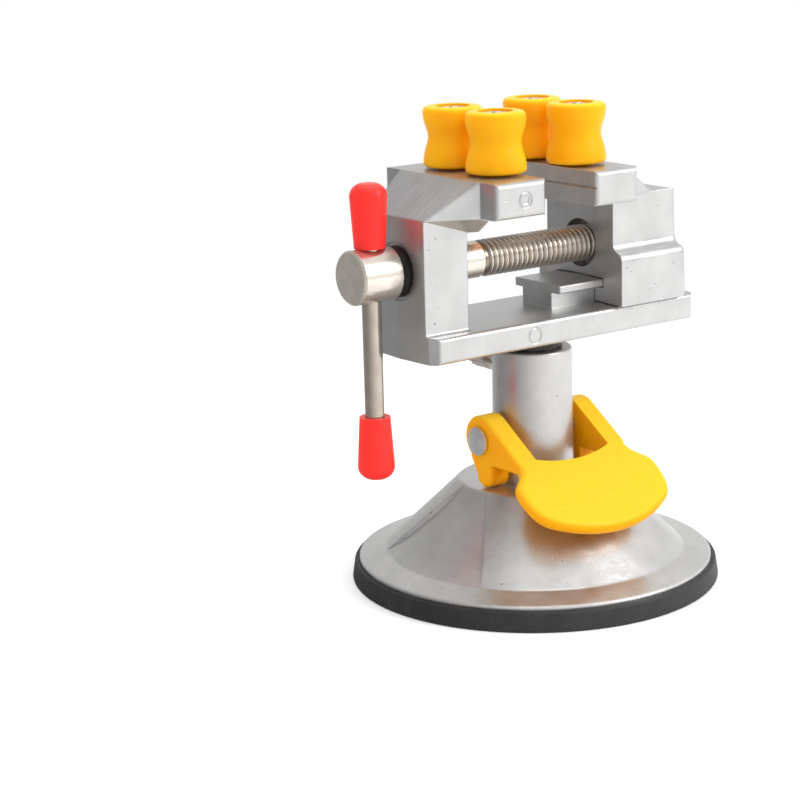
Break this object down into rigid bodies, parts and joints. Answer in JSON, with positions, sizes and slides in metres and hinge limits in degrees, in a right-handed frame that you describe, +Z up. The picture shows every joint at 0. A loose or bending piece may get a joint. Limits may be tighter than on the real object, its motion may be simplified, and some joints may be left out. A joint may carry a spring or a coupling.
{
  "type": "suction base vise",
  "caption": "Small bench vise on a swivelling post with a lever-locked suction cup base, screw-driven sliding jaw and grip pegs on top of the jaws.",
  "frame": {"origin": "centre of the suction cup's sealing face, on the bench surface", "axes": "+X along the bed from the handle end to the sliding jaw, -Y towards the lever's paddle, +Z up the post"},
  "size_m": [0.082, 0.0758, 0.0976],
  "materials": {
    "cast_alloy": "satin silver-grey casting",
    "rubber": "moulded charcoal rubber",
    "yellow_plastic": "glossy yellow-orange moulding",
    "red_vinyl": "soft dipped vinyl, slightly glossy",
    "plated_steel": "nickel-plated turned steel",
    "zinc_steel": "bright zinc-plated steel",
    "dark_steel": "dark oiled steel"
  },
  "bodies": {
    "base": {"suction_cup": "rubber", "base_dome": "cast_alloy"},
    "column": {"post": "cast_alloy", "plunger_stud": "zinc_steel", "lever_axle": "zinc_steel"},
    "lever": {"suction_lever": "yellow_plastic"},
    "lock": {"lock_screw": "plated_steel"},
    "head": {"vise_body": "cast_alloy", "swivel_spigot": "dark_steel", "retaining_pin": "zinc_steel", "thrust_washer": "dark_steel", "peg_screw_fixed_front": "zinc_steel", "peg_screw_fixed_rear": "zinc_steel"},
    "screw": {"lead_screw": "plated_steel"},
    "handle": {"handle_rod": "plated_steel", "handle_cap_upper": "red_vinyl", "handle_cap_lower": "red_vinyl"},
    "slider": {"moving_jaw": "cast_alloy", "jaw_nut": "zinc_steel", "peg_screw_moving_front": "zinc_steel", "peg_screw_moving_rear": "zinc_steel"},
    "peg_a": {"peg_fixed_front": "yellow_plastic"},
    "peg_b": {"peg_fixed_rear": "yellow_plastic"},
    "peg_c": {"peg_moving_front": "yellow_plastic"},
    "peg_d": {"peg_moving_rear": "yellow_plastic"}
  },
  "joints": [
    {"name": "lever_swing", "type": "hinge", "parent": "column", "child": "lever", "pos_m": [0, 0, 0.03057], "axis": [-1, 0, 0], "range_deg": [0, 60.4]},
    {"name": "cup_draw", "type": "slide", "parent": "base", "child": "column", "axis": [0, 0, 1], "range_m": [-0.0017, 0]},
    {"name": "head_swivel", "type": "hinge", "parent": "column", "child": "head", "pos_m": [0, 0, 0.05095], "axis": [0, 0, 1], "continuous": true},
    {"name": "lock_turn", "type": "hinge", "parent": "column", "child": "lock", "pos_m": [0, 0, 0.0453], "axis": [0, 1, 0], "range_deg": [0, 360]},
    {"name": "screw_turn", "type": "hinge", "parent": "head", "child": "screw", "pos_m": [-0.0393, 0, 0.0679], "axis": [1, 0, 0], "range_deg": [-2596, 2308]},
    {"name": "jaw_travel", "type": "slide", "parent": "head", "child": "slider", "axis": [1, 0, 0], "range_m": [-0.008, 0.009]},
    {"name": "handle_slide", "type": "slide", "parent": "screw", "child": "handle", "axis": [0, 0, 1], "range_m": [0, 0.0224]},
    {"name": "peg_fixed_front_turn", "type": "hinge", "parent": "head", "child": "peg_a", "pos_m": [-0.0138, -0.00683, 0.0853], "axis": [0, 0, 1], "continuous": true},
    {"name": "peg_fixed_rear_turn", "type": "hinge", "parent": "head", "child": "peg_b", "pos_m": [-0.0138, 0.00683, 0.0853], "axis": [0, 0, 1], "continuous": true},
    {"name": "peg_moving_front_turn", "type": "hinge", "parent": "slider", "child": "peg_c", "pos_m": [0.0064, -0.00683, 0.0853], "axis": [0, 0, 1], "continuous": true},
    {"name": "peg_moving_rear_turn", "type": "hinge", "parent": "slider", "child": "peg_d", "pos_m": [0.0064, 0.00683, 0.0853], "axis": [0, 0, 1], "continuous": true}
  ],
  "couplings": [
    {"joint": "lever_swing", "follows": "cup_draw", "rad_per_m": -616},
    {"joint": "screw_turn", "follows": "jaw_travel", "rad_per_m": -5026.5}
  ]
}
